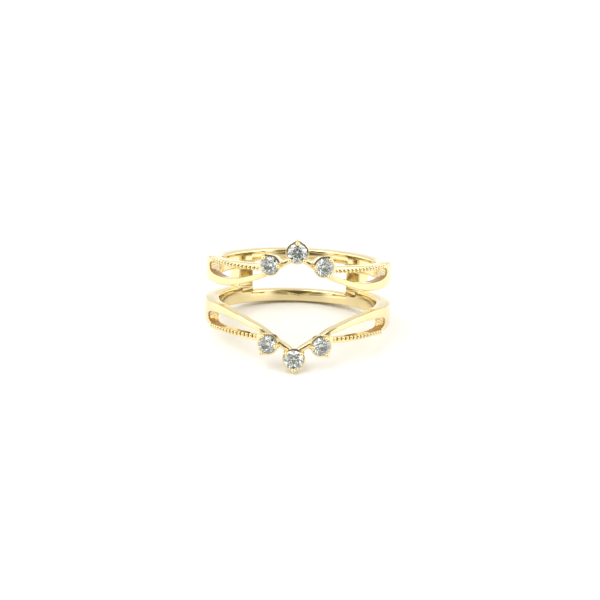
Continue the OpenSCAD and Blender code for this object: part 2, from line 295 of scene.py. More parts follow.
def ring_point(angle: float, radius: float, height: float) -> Vector:
    """Return a point of the upright ring, from its angle from the front."""
    return Vector((radius * sin(angle), -radius * cos(angle), height))


def outward(angle: float, rise: float = 0.0) -> Matrix:
    """Return the turn that points Z out of the ring, X along it and Y up its axis.

    Args:
        angle: Degrees from the front.
        rise: Height above the middle of the gap.

    Returns:
        The move from a stone's own axes to the upright ring.
    """
    return (
        Matrix.Translation((0, 0, rise))
        @ Matrix.Rotation(math.radians(angle), 4, "Z")
        @ Matrix.Rotation(math.radians(90), 4, "X")
    )


def lying(ring: RingSizes) -> Matrix:
    """Return the move from the upright ring in millimetres to the table in metres.

    The ring rests on the lower chevron's point and on the back edge of the lower band.

    Args:
        ring: The ring's sizes.

    Returns:
        The move, with the middle of the ring's box at the origin.
    """
    tip = (ring.girdle_r - ring.point_drop, ring.centre_stone_rise + ring.centre_point_reach)
    inset = ring.edge_r * cos(EDGE_MEET)
    back = (ring.outer_r - inset, ring.band_top - inset)
    reach = (tip[0] + back[0], tip[1] - back[1])
    angle = math.atan2(reach[1], reach[0])
    angle += math.asin((ring.point_r - ring.edge_r) / math.hypot(*reach))
    lift = tip[1] * math.cos(angle) - tip[0] * math.sin(angle) + ring.point_r
    front_end = (ring.girdle_r + ring.claw_tip_d) * math.cos(angle)
    front_end += ring.centre_stone_rise * math.sin(angle)
    back_end = back[0] * math.cos(angle) + back[1] * math.sin(angle) + ring.edge_r
    shift = (front_end - back_end) / 2
    return (
        Matrix.Scale(MM, 4)
        @ Matrix.Translation((0, shift, lift))
        @ Matrix.Rotation(-angle, 4, "X")
    )


LYING = lying(RING)


def link(name: str, data: bpy.types.ID) -> bpy.types.Object:
    """Return a new object of the scene.

    Args:
        name: The object's name.
        data: Its mesh, light or camera.

    Returns:
        The object, linked to the scene.
    """
    made = bpy.data.objects.new(name, data)
    bpy.context.scene.collection.objects.link(made)
    return made


@dataclass
class Draft:
    """Points and faces of a mesh in the making, in the upright ring's millimetres."""

    points: list[Vector] = field(default_factory=list)
    faces: list[tuple[int, ...]] = field(default_factory=list)

    def add_rings(self, rings: Sequence[Sequence[Vector]], closed: bool = False) -> "Draft":
        """Add a skin through rings of points, capped at both ends unless it is closed.

        Args:
            rings: Rings with the same number of points each.
            closed: Whether the last ring joins the first.

        Returns:
            The draft itself.
        """
        base = len(self.points)
        count = len(rings[0])
        for ring in rings:
            self.points.extend(ring)
        pairs = len(rings) if closed else len(rings) - 1
        for i in range(pairs):
            a = base + i * count
            b = base + (i + 1) % len(rings) * count
            for j in range(count):
                k = (j + 1) % count
                self.faces.append((a + j, a + k, b + k, b + j))
        if not closed:
            self.faces.append(tuple(base + j for j in reversed(range(count))))
            last = base + (len(rings) - 1) * count
            self.faces.append(tuple(last + j for j in range(count)))
        return self

    def moved(self, matrix: Matrix) -> "Draft":
        """Return a copy with every point moved."""
        return Draft([matrix @ p for p in self.points], list(self.faces))

    def joined(self, other: "Draft") -> "Draft":
        """Return this draft and another one as one.

        Args:
            other: The draft to add.

        Returns:
            A new draft of both.
        """
        base = len(self.points)
        faces = self.faces + [tuple(i + base for i in f) for f in other.faces]
        return Draft(self.points + other.points, faces)

    def item(self, name: str) -> bpy.types.Object:
        """Return a new object with this draft's mesh, its normals turned outwards.

        Args:
            name: The name of the object and of its mesh.

        Returns:
            The object, linked to the scene.
        """
        data = bpy.data.meshes.new(name)
        data.from_pydata([tuple(p) for p in self.points], [], self.faces)
        made = bmesh.new()
        made.from_mesh(data)
        bmesh.ops.remove_doubles(made, verts=made.verts, dist=1e-5)
        bmesh.ops.recalc_face_normals(made, faces=made.faces)
        made.to_mesh(data)
        made.free()
        return link(name, data)


@dataclass(frozen=True)
class Edges:
    """The rounding of a section's outer edges, its inner ones, and the inner one at the gap."""

    outer: float
    inner: float
    gap: float


def rounded_box(
    low: float, high: float, inner: float, outer: float, edges: Edges, steps: int = 4
) -> list[tuple[float, float]]:
    """Return a rounded section as pairs of radius and height.

    Args:
        low: Height of the edge at the gap.
        high: Upper height.
        inner: Radius of the inner face.
        outer: Radius of the outer face.
        edges: Rounding of the edges.
        steps: Parts of each rounded corner.

    Returns:
        Points round the section.
    """
    most = 0.46 * (high - low)
    out_r, in_r, gap_r = (min(e, most) for e in (edges.outer, edges.inner, edges.gap))
    corners = (
        (outer - out_r, high - out_r, out_r, 0),
        (inner + in_r, high - in_r, in_r, 90),
        (inner + gap_r, low + gap_r, gap_r, 180),
        (outer - out_r, low + out_r, out_r, 270),
    )
    return [
        (r + e * cos(start + t), z + e * sin(start + t))
        for r, z, e, start in corners
        for t in spread(0, 90, steps)
    ]


def combine(base: bpy.types.Object, tools: Draft, operation: str) -> None:
    """Unite a mesh with tools, or cut them out of it.

    Args:
        base: The object that keeps the result.
        tools: Closed bodies that don't meet each other.
        operation: UNION or DIFFERENCE.
    """
    tool = tools.item("tool")
    change = base.modifiers.new("combine", "BOOLEAN")
    change.operation = operation
    change.solver = "MANIFOLD"
    change.object = tool
    graph = bpy.context.evaluated_depsgraph_get()
    result = bpy.data.meshes.new_from_object(base.evaluated_get(graph))
    base.modifiers.clear()
    old = base.data
    base.data = result
    bpy.data.meshes.remove(old)
    data = tool.data
    bpy.data.objects.remove(tool)
    bpy.data.meshes.remove(data)


def keep_largest(item: bpy.types.Object) -> None:
    """Drop the slivers that a cut leaves loose beside the body.

    Args:
        item: The body, which keeps only its largest connected mesh.
    """
    made = bmesh.new()
    made.from_mesh(item.data)
    left = set(made.verts)
    islands: list[list[bmesh.types.BMVert]] = []
    while left:
        stack = [left.pop()]
        island = list(stack)
        while stack:
            for edge in stack.pop().link_edges:
                for vert in edge.verts:
                    if vert in left:
                        left.remove(vert)
                        stack.append(vert)
                        island.append(vert)
        islands.append(island)
    islands.sort(key=len)
    loose = [v for island in islands[:-1] for v in island]
    bmesh.ops.delete(made, geom=loose, context="VERTS")
    made.to_mesh(item.data)
    made.free()


def dress(
    item: bpy.types.Object, sharp_angle: float, finishes: Sequence[bpy.types.Material] = ()
) -> None:
    """Lay a gold piece down on the table and tie it to the frame.

    Args:
        item: The piece, made upright in millimetres.
        sharp_angle: Edges that turn more than this many degrees stay sharp.
        finishes: The materials of its slots, unless its node tree has set them.
    """
    for finish in finishes:
        item.data.materials.append(finish)
    item.data.transform(LYING)
    item.data.update()
    item.data.set_sharp_from_angle(angle=math.radians(sharp_angle))
    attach(item, "root")
    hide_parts("guard_frame")
    LOG.info("%s: %d faces", item.name, len(item.data.polygons))


@dataclass(frozen=True)
class Setting:
    """A stone's place, its diameter, and its outer point's direction and reach."""

    place: Matrix
    stone_d: float
    direction: float
    reach: float


@dataclass(frozen=True)
class Layer:
    """One layer of an opening's cutter: its radius, how far its circle is set back from the
    finger's axis, and how far it flares past the opening's contour."""

    radius: float
    back: float
    flare: float


@dataclass(frozen=True)
class Guards:
    """The gold body: two pierced guards, two bars and six cups, fused into one.

    Lengths are in millimetres and angles in degrees. The edges are worn round on the side
    of the gap between worn_from and worn_to, each the start and the full end of a ramp, and
    are softer all round the back. A cutter reaches past the metal by past, and there flares
    by past_flare. A bar is sunk into the bands by bar_sunk and is short of their outer face
    by bar_short.
    """

    ring: RingSizes = RING
    outline: Outline = OUTLINE
    outer_edge_r: float = 0.2
    inner_edge_r: float = 0.12
    back_edge_r: float = 0.12
    back_from: float = 80.0
    back_full: float = 100.0
    worn_edge_r: float = 0.2
    worn_from: tuple[float, float] = (34.0, 48.0)
    worn_to: tuple[float, float] = (84.0, 68.0)
    leaf_tip_r: float = 0.05
    leaf_edge_r: float = 0.09
    leaf_rim_r: float = 0.18
    leaf_clear: float = 0.004
    past: float = 0.5
    past_flare: float = 0.25
    groove_depth: float = 0.14
    groove_share: float = 0.9
    groove_past: float = 0.4
    groove_edges: Edges = Edges(0.02, 0.08, 0.02)
    bar_edges: Edges = Edges(0.16, 0.12, 0.12)
    bar_sunk: float = 0.3
    bar_short: float = 0.02
    cup_foot_share: float = 0.46
    cup_edge_r: float = 0.08
    rim_edge_r: float = 0.045
    seat_gap: float = 0.05
    pavilion_share: float = 0.86
    hole_share: float = 0.2

    def guard(self, level: Level) -> Draft:
        """Return one guard without its openings, from sections all the way round.

        Args:
            level: Which of the two guards.

        Returns:
            The closed body.
        """
        ring = self.ring
        foot = ring.side_stone_angle
        half = spread(0, foot, 10) + spread(foot + 1, 180, 140)
        rings = []
        for turn in half + [-a for a in reversed(half[1:-1])]:
            a = abs(turn)
            inner = ring.front_r if a < ring.split_angle else ring.finger_r
            worn = self.worn_edge_r * ramp(a, *self.worn_from) * ramp(a, *self.worn_to)
            soft = self.inner_edge_r + self.back_edge_r * ramp(a, self.back_from, self.back_full)
            edges = Edges(self.outer_edge_r, soft, soft + worn)
            shape = rounded_box(
                self.outline.low(a), self.outline.high(a), inner, ring.face_r(a), edges
            )
            rings.append([ring_point(turn, r, level.value * z) for r, z in shape])
        return Draft().add_rings(rings, closed=True)

    def across_cut(self, angle: float) -> float:
        """Return how far a place on the outer face lies beside the cut's direction."""
        return self.ring.face_r(angle) * sin(angle - CUT_ANGLE)

    def leaf_contour(self) -> list[tuple[float, float]]:
        """Return the opening's contour, flat and square to the cut's direction.

        Returns:
            Pairs of the place beside the cut's direction and the height.
        """
        line = self.outline
        start = self.across_cut(LEAF_ROUND)
        length = self.across_cut(self.ring.split_angle) - start
        low, high = line.leaf_low(LEAF_ROUND), line.leaf_high(LEAF_ROUND)
        middle, half_height = (low + high) / 2, (high - low) / 2
        angles = spread(LEAF_POINT + 0.6, LEAF_ROUND, 30)
        lower = [(self.across_cut(a), line.leaf_low(a)) for a in angles]
        upper = [(self.across_cut(a), line.leaf_high(a)) for a in reversed(angles)]
        end = [
            (
                start + length * cos(t) ** LEAF_BLUNT,
                middle + math.copysign(half_height * abs(sin(t)) ** LEAF_BLUNT, t),
            )
            for t in spread(-78, 78, 20)
        ]
        tip_z = (lower[0][1] + upper[-1][1]) / 2
        half = (upper[-1][1] - lower[0][1]) / 2
        tip = [
            (lower[0][0] - max(self.leaf_tip_r, half) * cos(t), tip_z - half * sin(t))
            for t in spread(-60, 60, 4)
        ]
        return lower + end + upper + tip

    def leaf_layers(self) -> list[Layer]:
        """Return the layers of an opening's cutter, from outside the ring to its hollow.

        Returns:
            Layers that leave a round rim on both faces of the metal.
        """
        e, rim, clear = self.leaf_edge_r, self.leaf_rim_r, self.leaf_clear
        outer, inner, thin = self.ring.outer_r, self.ring.front_r, self.ring.front_thin
        arc = spread(0, 90, 5)
        layers = [Layer(outer + self.past, thin, e + self.past_flare)]
        layers += [Layer(outer + clear - e + e * cos(t), thin, e - e * sin(t)) for t in arc]
        layers += [
            Layer(outer - e + (inner - outer + rim + e) * t, thin * (1 - t), 0.0)
            for t in (0.25, 0.5, 0.75)
        ]
        layers += [Layer(inner - clear + rim - rim * sin(t), 0.0, rim - rim * cos(t)) for t in arc]
        layers += [Layer(inner - self.past, 0.0, rim + self.past_flare)]
        return layers

    def leaf_cutter(self, level: Level, hand: Hand) -> Draft:
        """Return the cutter of one opening, which flares into the rounded rims.

        Args:
            level: Which of the two guards.
            hand: Which half of it.

        Returns:
            The closed cutter.
        """
        contour = self.leaf_contour()
        normals = []
        for i, _ in enumerate(contour):
            ahead, behind = contour[(i + 1) % len(contour)], contour[i - 1]
            run = Vector((ahead[0] - behind[0], ahead[1] - behind[1]))
            run.normalize()
            normals.append((run.y, -run.x))
        rings = []
        for layer in self.leaf_layers():
            loop = []
            for (t, z), (nt, nz) in zip(contour, normals):
                flat, height = t + nt * layer.flare, z + nz * layer.flare
                beside = flat - layer.back * sin(CUT_ANGLE)
                out = math.sqrt(max(0.0, layer.radius * layer.radius - beside * beside))
                out = out - layer.back * cos(CUT_ANGLE)
                x = flat * cos(CUT_ANGLE) + out * sin(CUT_ANGLE)
                y = flat * sin(CUT_ANGLE) - out * cos(CUT_ANGLE)
                loop.append(Vector((hand.value * x, y, level.value * height)))
            rings.append(loop)
        return Draft().add_rings(rings)

    def groove(self, level: Level, hand: Hand) -> Draft:
        """Return the cutter of the shallow channel in which the milgrain stands.

        Args:
            level: Which of the two guards.
            hand: Which half of it.

        Returns:
            The closed cutter.
        """
        rings = []
        width = self.groove_share * self.ring.bead_d
        for a in spread(MILGRAIN_START - 1, MILGRAIN_END + 1, 60):
            edge, face = self.outline.leaf_high(a), self.ring.face_r(a)
            shape = rounded_box(
                edge - self.groove_past, edge + width,
                face - self.groove_depth, face + self.groove_past, self.groove_edges,
            )
            rings.append([ring_point(hand.value * a, r, level.value * z) for r, z in shape])
        return Draft().add_rings(rings)

    def bar_reach(self, height: float, edge: float, flare: float) -> float:
        """Return how far a bar reaches from its middle, with its joint's flare at the band.

        Args:
            height: Height above the middle of the gap.
            edge: Height of the band's edge.
            flare: Radius of the flare.

        Returns:
            Half the bar's width on that side.
        """
        over = min(flare, max(0.0, abs(height) - (edge - flare)))
        flared = flare - math.sqrt(max(0.0, flare * flare - over * over))
        return self.ring.bridge_w / 2 + flared

    def bar(self, hand: Hand) -> Draft:
        """Return one bar between the guards, flared into both of them.

        Args:
            hand: Which of the two bars.

        Returns:
            The closed body.
        """
        ring = self.ring
        top, slot = ring.back_gap / 2, ring.side_gap_edge
        back_flare, slot_flare = min(ring.bridge_fillet, 0.95 * top), ring.slot_fillet
        heights = [-top - self.bar_sunk]
        heights += [-top + back_flare * (1 - cos(t)) for t in spread(0, 90, 6)]
        heights += [-top + back_flare + (top - slot - back_flare) * t for t in (0.3, 0.6, 0.9)]
        heights += [-slot + slot_flare * (1 - cos(t)) for t in spread(20, 90, 5)]
        heights += [-slot + slot_flare + (slot - slot_flare) * t for t in spread(0.1, 1, 6)]
        heights += [-z for z in reversed(heights[:-1])]
        rings = []
        for z in heights:
            shape = rounded_box(
                -self.bar_reach(z, slot, slot_flare), self.bar_reach(z, top, back_flare),
                ring.front_r, ring.outer_r - self.bar_short, self.bar_edges,
            )
            loop = []
            for r, along in shape:
                angle = ring.bridge_angle + math.degrees(math.asin(along / r))
                loop.append(ring_point(hand.value * angle, r, z))
            rings.append(loop)
        return Draft().add_rings(rings)

    def cup_profile(self, setting: Setting) -> list[tuple[float, float]]:
        """Return a cup's profile from its foot to its rim.

        Args:
            setting: The stone's setting.

        Returns:
            Pairs of radius and height along the stone's axis.
        """
        ring, e, soft = self.ring, self.cup_edge_r, self.rim_edge_r
        foot = self.cup_foot_share * setting.stone_d
        rim = setting.stone_d / 2 + ring.stone_gap + ring.rim_w
        bottom, top = ring.front_r, ring.girdle_r - ring.relief
        profile = [(foot - e + e * sin(t), bottom + e - e * cos(t)) for t in spread(0, 80, 4)]
        low, high = profile[-1][1], top - soft
        profile += [(foot + (rim - foot) * t, low + (high - low) * t) for t in spread(0.1, 1, 9)]
        profile += [(rim - soft + soft * cos(t), high + soft * sin(t)) for t in (30, 60, 88)]
        return profile

    def cup(self, setting: Setting) -> Draft:
        """Return the tapered cup under a stone, its rim drawn out to a pointed crest.

        Args:
            setting: The stone's setting.

        Returns:
            The closed body round the stone's own axis.
        """
        ring = self.ring
        start = POINT_ROOT_REACH * setting.stone_d
        start_z = ring.girdle_r - POINT_ROOT_DEPTH * setting.stone_d
        end, end_z = setting.reach + 0.6 * ring.point_r, ring.girdle_r - ring.point_drop
        rings = []
        for radius, z in self.cup_profile(setting):
            crest = start + (end - start) * min(1.0, (z - start_z) / (end_z - start_z))
            half = math.degrees(math.acos(min(1.0, radius / max(radius, crest))))
            loop = []
            for turn in spread(-180, 180, 90)[:-1]:
                r = radius / cos(max(0.0, half - abs(turn)))
                a = setting.direction + turn
                loop.append(Vector((r * cos(a), r * sin(a), z)))
            rings.append(loop)
        return Draft().add_rings(rings)

    def seat(self, stone_d: float) -> Draft:
        """Return the room of a stone and the hole behind it.

        Args:
            stone_d: The stone's diameter.

        Returns:
            The closed cutter round the stone's own axis.
        """
        ring = self.ring
        slope = 1 / self.pavilion_share
        depth = self.pavilion_share * stone_d / 2
        low = ring.girdle_r - depth - self.seat_gap / math.sin(math.atan(slope))
        hole, past = self.hole_share * stone_d, 1.0
        profile = (
            (hole - 0.06, ring.finger_r - past),
            (hole, ring.finger_r - 0.9 * past),
            (hole, low + hole / slope),
            ((ring.girdle_r + past - low) * slope, ring.girdle_r + past),
        )
        rings = [
            [Vector((r * cos(a), r * sin(a), z)) for a in spread(0, 360, 48)[:-1]]
            for r, z in profile
        ]
        return Draft().add_rings(rings)

    def settings(self) -> Iterable[Setting]:
        """Give the setting of each stone.

        Yields:
            The centre stone's and the side stones' settings of each guard.
        """
        ring = self.ring
        for level in Level:
            flip = Matrix.Diagonal((1, 1, level.value, 1))
            place = flip @ outward(0, ring.centre_stone_rise)
            yield Setting(place, ring.centre_stone_d, CENTRE_CLAWS[0], ring.centre_point_reach)
            for hand in Hand:
                place = flip @ outward(hand.value * ring.side_stone_angle, ring.side_stone_rise)
                direction = SIDE_CLAWS[0] if hand is Hand.RIGHT else 180 - SIDE_CLAWS[0]
                yield Setting(place, ring.side_stone_d, direction, ring.side_point_reach)

    def body(self) -> bpy.types.Object:
        """Return the fused gold in the upright ring's millimetres.

        Returns:
            One closed mesh without materials.
        """
        gold = self.guard(Level.UPPER).joined(self.guard(Level.LOWER)).item("gold_guards")
        for cutter in (self.leaf_cutter, self.groove):
            tools = Draft()
            for level in Level:
                for hand in Hand:
                    tools = tools.joined(cutter(level, hand))
            combine(gold, tools, "DIFFERENCE")
        for hand in Hand:
            combine(gold, self.bar(hand), "UNION")
        cups = Draft()
        for setting in self.settings():
            cups = cups.joined(self.cup(setting).moved(setting.place))
        combine(gold, cups, "UNION")
        for setting in self.settings():
            combine(gold, self.seat(setting.stone_d).moved(setting.place), "DIFFERENCE")
        gold.data.materials.clear()
        keep_largest(gold)
        return gold

    def mark_shaded_walls(self, item: bpy.types.Object, slot: int) -> None:
        """Give the walls of the openings' round ends another material slot, for the darker gold that
        paints their shade.

        Args:
            item: The upright gold body in millimetres.
            slot: The number of the walls' material, which is painted shade.
        """
        ring, line = self.ring, self.outline
        margin, facing = 0.06, 0.2
        for face in item.data.polygons:
            x, y, z = face.center
            angle = math.degrees(math.atan2(abs(x), -y))
            if not LEAF_ROUND - 3 < angle < ring.split_angle + 2:
                continue
            within = line.leaf_low(angle) - margin < abs(z) < line.leaf_high(angle) + margin
            inner, outer = ring.front_r + self.leaf_rim_r, ring.face_r(angle) - self.leaf_edge_r
            along = face.normal.x * math.copysign(sin(CUT_ANGLE), x) - face.normal.y * cos(CUT_ANGLE)
            if within and inner < math.hypot(x, y) < outer and abs(along) < facing:
                face.material_index = slot

    def build(self, polished: bpy.types.Material, shaded_wall: bpy.types.Material) -> None:
        """Make the gold body, with painted shade on the walls of its openings' round ends.

        Args:
            polished: The finish of the gold's faces.
            shaded_wall: The darker gold that paints shade on the openings' walls.
        """
        gold = self.body()
        # Slot 1 takes the darker gold that paints the shade on the openings' walls
        self.mark_shaded_walls(gold, 1)
        dress(gold, 32, (polished, shaded_wall))


def add_node(
    tree: bpy.types.NodeTree,
    kind: str,
    values: dict[str | int, object] | None = None,
    links: dict[str | int, bpy.types.NodeSocket] | None = None,
    **settings: object,
) -> bpy.types.Node:
    """Add a node with its settings, input values and incoming links.

    Args:
        tree: The node tree.
        kind: The node's Blender type.
        values: Input name or number to value.
        links: Input name or number to the socket that feeds it.
        settings: The node's own properties.

    Returns:
        The new node.
    """
    node = tree.nodes.new(kind)
    for key, value in settings.items():
        setattr(node, key, value)
    for key, value in (values or {}).items():
        node.inputs[key].default_value = value
    for key, source in (links or {}).items():
        tree.links.new(source, node.inputs[key])
    return node


def linear(code: str) -> tuple[float, float, float, float]:
    """Return the linear colour of an sRGB hex value.

    Args:
        code: The value, such as #F5D9A0.

    Returns:
        Red, green, blue and a full alpha.
    """
    parts = [int(code[i : i + 2], 16) / 255 for i in (1, 3, 5)]
    flat = [c / 12.92 if c <= 0.04045 else ((c + 0.055) / 1.055) ** 2.4 for c in parts]
    return (flat[0], flat[1], flat[2], 1.0)


def per_metre(size_mm: float) -> float:
    """Return a texture scale whose features are size_mm wide in object space."""
    return 1 / (size_mm * MM)


def new_material(name: str) -> tuple[bpy.types.Material, bpy.types.NodeTree]:
    """Return a new material and its empty node tree.

    Args:
        name: The material's name.

    Returns:
        The material and its tree.
    """
    made = bpy.data.materials.new(name)
    made.use_nodes = True
    made.node_tree.nodes.clear()
    return made, made.node_tree


@dataclass(frozen=True)
class GoldFinish:
    """Cast 14 carat yellow gold: mirror-bright with a faint buffing haze where it is polished, soft
    and in a darker colour of painted shade where it stands for the shaded walls of the openings."""

    name: str
    colour: str
    roughness: tuple[float, float]
    haze_mm: float
    wave_mm: float
    wave_depth_mm: float

    def material(self) -> bpy.types.Material:
        """Return the metal, with haze in its gloss and a shallow wave in its face.

        Returns:
            The node material.
        """
        made, tree = new_material(self.name)
        place = add_node(tree, "ShaderNodeTexCoord")
        haze = add_node(
            tree, "ShaderNodeTexNoise", {"Scale": per_metre(self.haze_mm), "Detail": 3.0},
            {"Vector": place.outputs["Object"]},
        )
        rough = add_node(
            tree, "ShaderNodeMapRange",
            {"From Min": 0.3, "From Max": 0.7, "To Min": self.roughness[0],
             "To Max": self.roughness[1]},
            {"Value": haze.outputs["Fac"]},
        )
        wave = add_node(
            tree, "ShaderNodeTexNoise", {"Scale": per_metre(self.wave_mm), "Detail": 1.0},
            {"Vector": place.outputs["Object"]},
        )
        bump = add_node(
            tree, "ShaderNodeBump", {"Strength": 1.0, "Distance": self.wave_depth_mm * MM},
            {"Height": wave.outputs["Fac"]},
        )
        shader = add_node(
            tree, "ShaderNodeBsdfPrincipled",
            {"Base Color": linear(self.colour), "Metallic": 1.0},
            {"Roughness": rough.outputs["Result"], "Normal": bump.outputs["Normal"]},
        )
        add_node(tree, "ShaderNodeOutputMaterial", None, {"Surface": shader.outputs["BSDF"]})
        return made


@dataclass(frozen=True)
class StoneFinish:
    """Cut and polished diamond: clear, and so refractive that its facets flash dark and light."""

    name: str
    colour: str
    refraction: float

    def material(self) -> bpy.types.Material:
        """Return the clear stone, with polished facets.

        Returns:
            The node material.
        """
        made, tree = new_material(self.name)
        shader = add_node(
            tree, "ShaderNodeBsdfPrincipled",
            {"Base Color": linear(self.colour), "Roughness": 0.0, "IOR": self.refraction,
             "Transmission Weight": 1.0},
        )
        add_node(tree, "ShaderNodeOutputMaterial", None, {"Surface": shader.outputs["BSDF"]})
        return made


@dataclass(frozen=True)
class FloorFinish:
    """Satin white acrylic sheet: nearly flat white, with a faint soft reflection."""

    name: str
    colours: tuple[str, str]
    roughness: float
    cloud_mm: float

    def material(self) -> bpy.types.Material:
        """Return the sheet's material, clouded between two whites.

        Returns:
            The node material.
        """
        made, tree = new_material(self.name)
        place = add_node(tree, "ShaderNodeTexCoord")
        cloud = add_node(
            tree, "ShaderNodeTexNoise", {"Scale": per_metre(self.cloud_mm), "Detail": 2.0},
            {"Vector": place.outputs["Object"]},
        )
        tint = add_node(
            tree, "ShaderNodeMix",
            {"A": linear(self.colours[0]), "B": linear(self.colours[1])},
            {"Factor": cloud.outputs["Fac"]},
            data_type="RGBA",
        )
        shader = add_node(
            tree, "ShaderNodeBsdfPrincipled", {"Roughness": self.roughness},
            {"Base Color": tint.outputs["Result"]},
        )
        add_node(tree, "ShaderNodeOutputMaterial", None, {"Surface": shader.outputs["BSDF"]})
        return made


# A buffed face's haze and the walls' rougher skin are finer than 0.5 mm, and are drawn that coarse
# so that they show
POLISHED = GoldFinish("polished_cast_gold", "#EBD9A8", (0.05, 0.12), 0.5, 2.0, 0.002)
# The walls' darker colour is painted shade, standing for the shade and dark reflections in the
# openings' round ends
PAINTED_SHADE_WALL = GoldFinish("painted_shade_gold_wall", "#A97B3C", (0.18, 0.3), 0.5, 0.8, 0.004)
DIAMOND = StoneFinish("cut_polished_diamond", "#DFE6DD", 2.417)
SHEET = FloorFinish("satin_white_acrylic", ("#FCFCFA", "#FFFFFE"), 0.35, 40.0)


@dataclass(frozen=True)
class RepeatTree:
    """A Geometry Nodes tree that puts one shape at many places and gives it its finish."""

    name: str

    def start(self) -> tuple[bpy.types.GeometryNodeTree, bpy.types.Node]:
        """Start a tree with a geometry input and output.

        Returns:
            The tree and its input node.
        """
        tree = bpy.data.node_groups.new(self.name, "GeometryNodeTree")
        for direction in ("INPUT", "OUTPUT"):
            tree.interface.new_socket(
                "Geometry", in_out=direction, socket_type="NodeSocketGeometry"
            )
        return tree, add_node(tree, "NodeGroupInput")

    @staticmethod
    def ask(tree: bpy.types.GeometryNodeTree, name: str, kind: str) -> str:
        """Add a named input to a tree and return its identifier."""
        return tree.interface.new_socket(name, in_out="INPUT", socket_type=kind).identifier

    @staticmethod
    def end(
        tree: bpy.types.GeometryNodeTree,
        instances: bpy.types.NodeSocket,
        material: bpy.types.NodeSocket,
    ) -> None:
        """Finish a tree with Realize Instances and Set Material.

        Args:
            tree: The tree.
            instances: The socket that gives the repeated shapes.
            material: The socket that gives their finish.
        """
        real = add_node(tree, "GeometryNodeRealizeInstances", None, {"Geometry": instances})
        smooth = add_node(
            tree, "GeometryNodeSetShadeSmooth", {"Shade Smooth": True},
            {"Geometry": real.outputs["Geometry"]},
        )
        skin = add_node(
            tree, "GeometryNodeSetMaterial", None,
            {"Geometry": smooth.outputs["Geometry"], "Material": material},
        )
        add_node(tree, "NodeGroupOutput", None, {"Geometry": skin.outputs["Geometry"]})

    @staticmethod
    def grow(
        item: bpy.types.Object, tree: bpy.types.GeometryNodeTree, values: dict[str, object]
    ) -> None:
        """Run a tree on an object and keep its result as a plain mesh.

        Args:
            item: The object whose mesh gives the places.
            tree: The tree.
            values: Input identifier to value.
        """
        change = item.modifiers.new("repeat", "NODES")
        change.node_group = tree
        for identifier, value in values.items():
            change[identifier] = value
        graph = bpy.context.evaluated_depsgraph_get()
        result = bpy.data.meshes.new_from_object(item.evaluated_get(graph))
        item.modifiers.remove(change)
        old = item.data
        item.data = result
        bpy.data.meshes.remove(old)


@dataclass(frozen=True)
class Milgrain:
    """The beads along the outer arms, a little taller than wide, as a milgrain wheel leaves
    them, and each a little different in size."""

    ring: RingSizes = RING
    outline: Outline = OUTLINE
    width_share: float = 0.9
    height_share: float = 1.2
    variation: float = 0.05
    seed: int = 7
    middle_share: float = 0.45

    def lines(self) -> bpy.types.Object:
        """Return the lines of the beads' middles, one along each outer arm.

        Returns:
            An object of bare edges.
        """
        points, edges = [], []
        for level in Level:
            for hand in Hand:
                base = len(points)
                for a in spread(MILGRAIN_START, MILGRAIN_END, 60):
                    height = self.outline.leaf_high(a) + self.middle_share * self.ring.bead_d
                    place = ring_point(hand.value * a, self.ring.face_r(a), level.value * height)
                    points.append(tuple(place))
                edges += [(i, i + 1) for i in range(base, len(points) - 1)]
        data = bpy.data.meshes.new("milgrain")
        data.from_pydata(points, edges, [])
        return link("milgrain", data)

    def build(self, material: bpy.types.Material) -> None:
        """Set the beads at an even pitch along each line and dress them.

        Args:
            material: The beads' finish.
        """
        repeat = RepeatTree("milgrain_beads")
        tree, given = repeat.start()
        values = {
            repeat.ask(tree, "Bead Diameter", "NodeSocketFloat"): self.ring.bead_d,
            repeat.ask(tree, "Bead Pitch", "NodeSocketFloat"): self.ring.bead_pitch,
            repeat.ask(tree, "Width Share", "NodeSocketFloat"): self.width_share,
            repeat.ask(tree, "Height Share", "NodeSocketFloat"): self.height_share,
            repeat.ask(tree, "Size Variation", "NodeSocketFloat"): self.variation,
            repeat.ask(tree, "Finish", "NodeSocketMaterial"): material,
        }
        curve = add_node(tree, "GeometryNodeMeshToCurve", None, {"Mesh": given.outputs["Geometry"]})
        even = add_node(
            tree, "GeometryNodeResampleCurve", None,
            {"Curve": curve.outputs["Curve"], "Length": given.outputs["Bead Pitch"]},
            mode="LENGTH",
        )
        half = add_node(
            tree, "ShaderNodeMath", {1: 0.5}, {0: given.outputs["Bead Diameter"]},
            operation="MULTIPLY",
        )
        ball = add_node(
            tree, "GeometryNodeMeshUVSphere", {"Segments": 20, "Rings": 12},
            {"Radius": half.outputs["Value"]},
        )
        least = add_node(
            tree, "ShaderNodeMath", {0: 1.0}, {1: given.outputs["Size Variation"]},
            operation="SUBTRACT",
        )
        size = add_node(
            tree, "FunctionNodeRandomValue", {"Seed": self.seed}, {"Min": least.outputs["Value"]},
            data_type="FLOAT",
        )
        shape = add_node(
            tree, "ShaderNodeCombineXYZ", None,
            {"X": given.outputs["Width Share"], "Y": given.outputs["Width Share"],
             "Z": given.outputs["Height Share"]},
        )
        grown = add_node(
            tree, "ShaderNodeVectorMath", None,
            {0: shape.outputs["Vector"], "Scale": size.outputs["Value"]}, operation="SCALE",
        )
        spots = add_node(
            tree, "GeometryNodeInstanceOnPoints", None,
            {"Points": even.outputs["Curve"], "Instance": ball.outputs["Mesh"],
             "Scale": grown.outputs["Vector"]},
        )
        repeat.end(tree, spots.outputs["Instances"], given.outputs["Finish"])
        item = self.lines()
        repeat.grow(item, tree, values)
        dress(item, 50)


@dataclass(frozen=True)
class Station:
    """A place along a wire and the wire's radius there."""

    at: Vector
    radius: float


@dataclass(frozen=True)
class ClawSet:
    """One shape of claw or point and the places where it stands."""

    name: str
    shape: Draft
    places: Sequence[Matrix]


